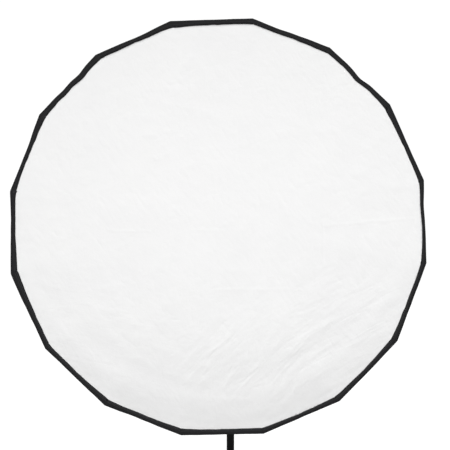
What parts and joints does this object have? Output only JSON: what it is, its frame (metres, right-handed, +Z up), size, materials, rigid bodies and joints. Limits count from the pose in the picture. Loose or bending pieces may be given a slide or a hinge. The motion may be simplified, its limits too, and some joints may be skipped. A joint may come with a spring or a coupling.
{
  "type": "folding rib-supported softbox on a tilting stand bracket",
  "caption": "Deep many-sided fabric light modifier whose ribs fold forward on a rotating speed ring, held by a tilting bracket on a stand pole.",
  "frame": {"origin": "centre of the pole's lower end face", "axes": "+Z up along the pole; the dish faces -Y; +X to the right seen from the front"},
  "size_m": [1.1826, 0.7001, 1.4913],
  "materials": {
    "fabric_black": "woven polyester, matt",
    "diffuser_white": "white ripstop diffuser cloth",
    "fibreglass": "satin pultruded rod",
    "plastic_black": "fine-grained moulding",
    "alloy_black": "satin black powder coat on aluminium",
    "nylon_black": "glass-filled nylon, fine grain",
    "aluminium": "turned",
    "steel": "plated"
  },
  "bodies": {
    "stand_pole": {"pole_tube": "alloy_black", "pole_plug": "plastic_black", "stand_stud": "steel"},
    "tilt_base": {"tilt_base": "alloy_black", "tilt_bolt": "steel", "tilt_nut": "steel"},
    "socket_screw": {"socket_screw": "plastic_black"},
    "tilt_lever": {"tilt_lever": "plastic_black"},
    "head": {"bracket_casting": "alloy_black", "mount_insert": "aluminium"},
    "speed_ring": {"ring_body": "nylon_black", "ring_cover": "nylon_black", "cover_screw_1": "steel", "cover_screw_2": "steel", "cover_screw_3": "steel", "cover_screw_4": "steel", "hub_hem": "fabric_black", "outer_shell": "fabric_black", "rim_band": "fabric_black", "front_diffuser": "diffuser_white"},
    "ring_lock": {"ring_lock_screw": "plastic_black"},
    "rib_01": {"rib_01": "fibreglass", "rib_holder_01": "plastic_black"},
    "rib_02": {"rib_02": "fibreglass", "rib_holder_02": "plastic_black"},
    "rib_03": {"rib_03": "fibreglass", "rib_holder_03": "plastic_black"},
    "rib_04": {"rib_04": "fibreglass", "rib_holder_04": "plastic_black"},
    "rib_05": {"rib_05": "fibreglass", "rib_holder_05": "plastic_black"},
    "rib_06": {"rib_06": "fibreglass", "rib_holder_06": "plastic_black"},
    "rib_07": {"rib_07": "fibreglass", "rib_holder_07": "plastic_black"},
    "rib_08": {"rib_08": "fibreglass", "rib_holder_08": "plastic_black"},
    "rib_09": {"rib_09": "fibreglass", "rib_holder_09": "plastic_black"},
    "rib_10": {"rib_10": "fibreglass", "rib_holder_10": "plastic_black"},
    "rib_11": {"rib_11": "fibreglass", "rib_holder_11": "plastic_black"},
    "rib_12": {"rib_12": "fibreglass", "rib_holder_12": "plastic_black"},
    "rib_13": {"rib_13": "fibreglass", "rib_holder_13": "plastic_black"},
    "rib_14": {"rib_14": "fibreglass", "rib_holder_14": "plastic_black"},
    "rib_15": {"rib_15": "fibreglass", "rib_holder_15": "plastic_black"},
    "rib_16": {"rib_16": "fibreglass", "rib_holder_16": "plastic_black"}
  },
  "joints": [
    {"name": "base_pan", "type": "hinge", "parent": "stand_pole", "child": "tilt_base", "pos_m": [0, 0, 0.7], "axis": [0, 0, 1], "continuous": true},
    {"name": "socket_screw_turn", "type": "hinge", "parent": "tilt_base", "child": "socket_screw", "pos_m": [0, 0.02, 0.711], "axis": [0, 1, 0], "range_deg": [0, 450]},
    {"name": "tilt", "type": "hinge", "parent": "tilt_base", "child": "head", "pos_m": [0, 0, 0.775], "axis": [1, 0, 0], "range_deg": [-75, 35]},
    {"name": "tilt_lever_turn", "type": "hinge", "parent": "tilt_base", "child": "tilt_lever", "pos_m": [0.0245, 0, 0.775], "axis": [1, 0, 0], "range_deg": [-40, 40]},
    {"name": "ring_turn", "type": "hinge", "parent": "head", "child": "speed_ring", "pos_m": [0, -0.03, 0.9], "axis": [0, 1, 0], "continuous": true},
    {"name": "ring_lock_turn", "type": "hinge", "parent": "speed_ring", "child": "ring_lock", "pos_m": [0.06195, -0.0205, 0.96528], "axis": [0.6884, 0, 0.7254], "range_deg": [0, 450]},
    {"name": "rib_fold_01", "type": "hinge", "parent": "speed_ring", "child": "rib_01", "pos_m": [-0.02053, -0.046, 0.99071], "axis": [0.9753, 0, 0.2207], "range_deg": [0, 42], "deforming": ["outer_shell", "rim_band", "front_diffuser"]},
    {"name": "rib_fold_02", "type": "hinge", "parent": "speed_ring", "child": "rib_02", "pos_m": [-0.05368, -0.046, 0.97595], "axis": [0.8166, 0, 0.5771], "range_deg": [0, 42]},
    {"name": "rib_fold_03", "type": "hinge", "parent": "speed_ring", "child": "rib_03", "pos_m": [-0.07865, -0.046, 0.94963], "axis": [0.5336, 0, 0.8457], "range_deg": [0, 42]},
    {"name": "rib_fold_04", "type": "hinge", "parent": "speed_ring", "child": "rib_04", "pos_m": [-0.09166, -0.046, 0.91575], "axis": [0.1693, 0, 0.9856], "range_deg": [0, 42]},
    {"name": "rib_fold_05", "type": "hinge", "parent": "speed_ring", "child": "rib_05", "pos_m": [-0.09071, -0.046, 0.87948], "axis": [-0.2207, 0, 0.9753], "range_deg": [0, 42]},
    {"name": "rib_fold_06", "type": "hinge", "parent": "speed_ring", "child": "rib_06", "pos_m": [-0.07595, -0.046, 0.84632], "axis": [-0.5771, 0, 0.8166], "range_deg": [0, 42]},
    {"name": "rib_fold_07", "type": "hinge", "parent": "speed_ring", "child": "rib_07", "pos_m": [-0.04963, -0.046, 0.82135], "axis": [-0.8457, 0, 0.5336], "range_deg": [0, 42]},
    {"name": "rib_fold_08", "type": "hinge", "parent": "speed_ring", "child": "rib_08", "pos_m": [-0.01575, -0.046, 0.80834], "axis": [-0.9856, 0, 0.1693], "range_deg": [0, 42]},
    {"name": "rib_fold_09", "type": "hinge", "parent": "speed_ring", "child": "rib_09", "pos_m": [0.02053, -0.046, 0.80929], "axis": [-0.9753, 0, -0.2207], "range_deg": [0, 42]},
    {"name": "rib_fold_10", "type": "hinge", "parent": "speed_ring", "child": "rib_10", "pos_m": [0.05368, -0.046, 0.82405], "axis": [-0.8166, 0, -0.5771], "range_deg": [0, 42]},
    {"name": "rib_fold_11", "type": "hinge", "parent": "speed_ring", "child": "rib_11", "pos_m": [0.07865, -0.046, 0.85037], "axis": [-0.5336, 0, -0.8457], "range_deg": [0, 42]},
    {"name": "rib_fold_12", "type": "hinge", "parent": "speed_ring", "child": "rib_12", "pos_m": [0.09166, -0.046, 0.88425], "axis": [-0.1693, 0, -0.9856], "range_deg": [0, 42]},
    {"name": "rib_fold_13", "type": "hinge", "parent": "speed_ring", "child": "rib_13", "pos_m": [0.09071, -0.046, 0.92053], "axis": [0.2207, 0, -0.9753], "range_deg": [0, 42]},
    {"name": "rib_fold_14", "type": "hinge", "parent": "speed_ring", "child": "rib_14", "pos_m": [0.07595, -0.046, 0.95368], "axis": [0.5771, 0, -0.8166], "range_deg": [0, 42]},
    {"name": "rib_fold_15", "type": "hinge", "parent": "speed_ring", "child": "rib_15", "pos_m": [0.04963, -0.046, 0.97865], "axis": [0.8457, 0, -0.5336], "range_deg": [0, 42]},
    {"name": "rib_fold_16", "type": "hinge", "parent": "speed_ring", "child": "rib_16", "pos_m": [0.01575, -0.046, 0.99166], "axis": [0.9856, 0, -0.1693], "range_deg": [0, 42]}
  ],
  "couplings": [
    {"joint": "rib_fold_02", "follows": "rib_fold_01", "ratio": 1},
    {"joint": "rib_fold_03", "follows": "rib_fold_01", "ratio": 1},
    {"joint": "rib_fold_04", "follows": "rib_fold_01", "ratio": 1},
    {"joint": "rib_fold_05", "follows": "rib_fold_01", "ratio": 1},
    {"joint": "rib_fold_06", "follows": "rib_fold_01", "ratio": 1},
    {"joint": "rib_fold_07", "follows": "rib_fold_01", "ratio": 1},
    {"joint": "rib_fold_08", "follows": "rib_fold_01", "ratio": 1},
    {"joint": "rib_fold_09", "follows": "rib_fold_01", "ratio": 1},
    {"joint": "rib_fold_10", "follows": "rib_fold_01", "ratio": 1},
    {"joint": "rib_fold_11", "follows": "rib_fold_01", "ratio": 1},
    {"joint": "rib_fold_12", "follows": "rib_fold_01", "ratio": 1},
    {"joint": "rib_fold_13", "follows": "rib_fold_01", "ratio": 1},
    {"joint": "rib_fold_14", "follows": "rib_fold_01", "ratio": 1},
    {"joint": "rib_fold_15", "follows": "rib_fold_01", "ratio": 1},
    {"joint": "rib_fold_16", "follows": "rib_fold_01", "ratio": 1}
  ]
}
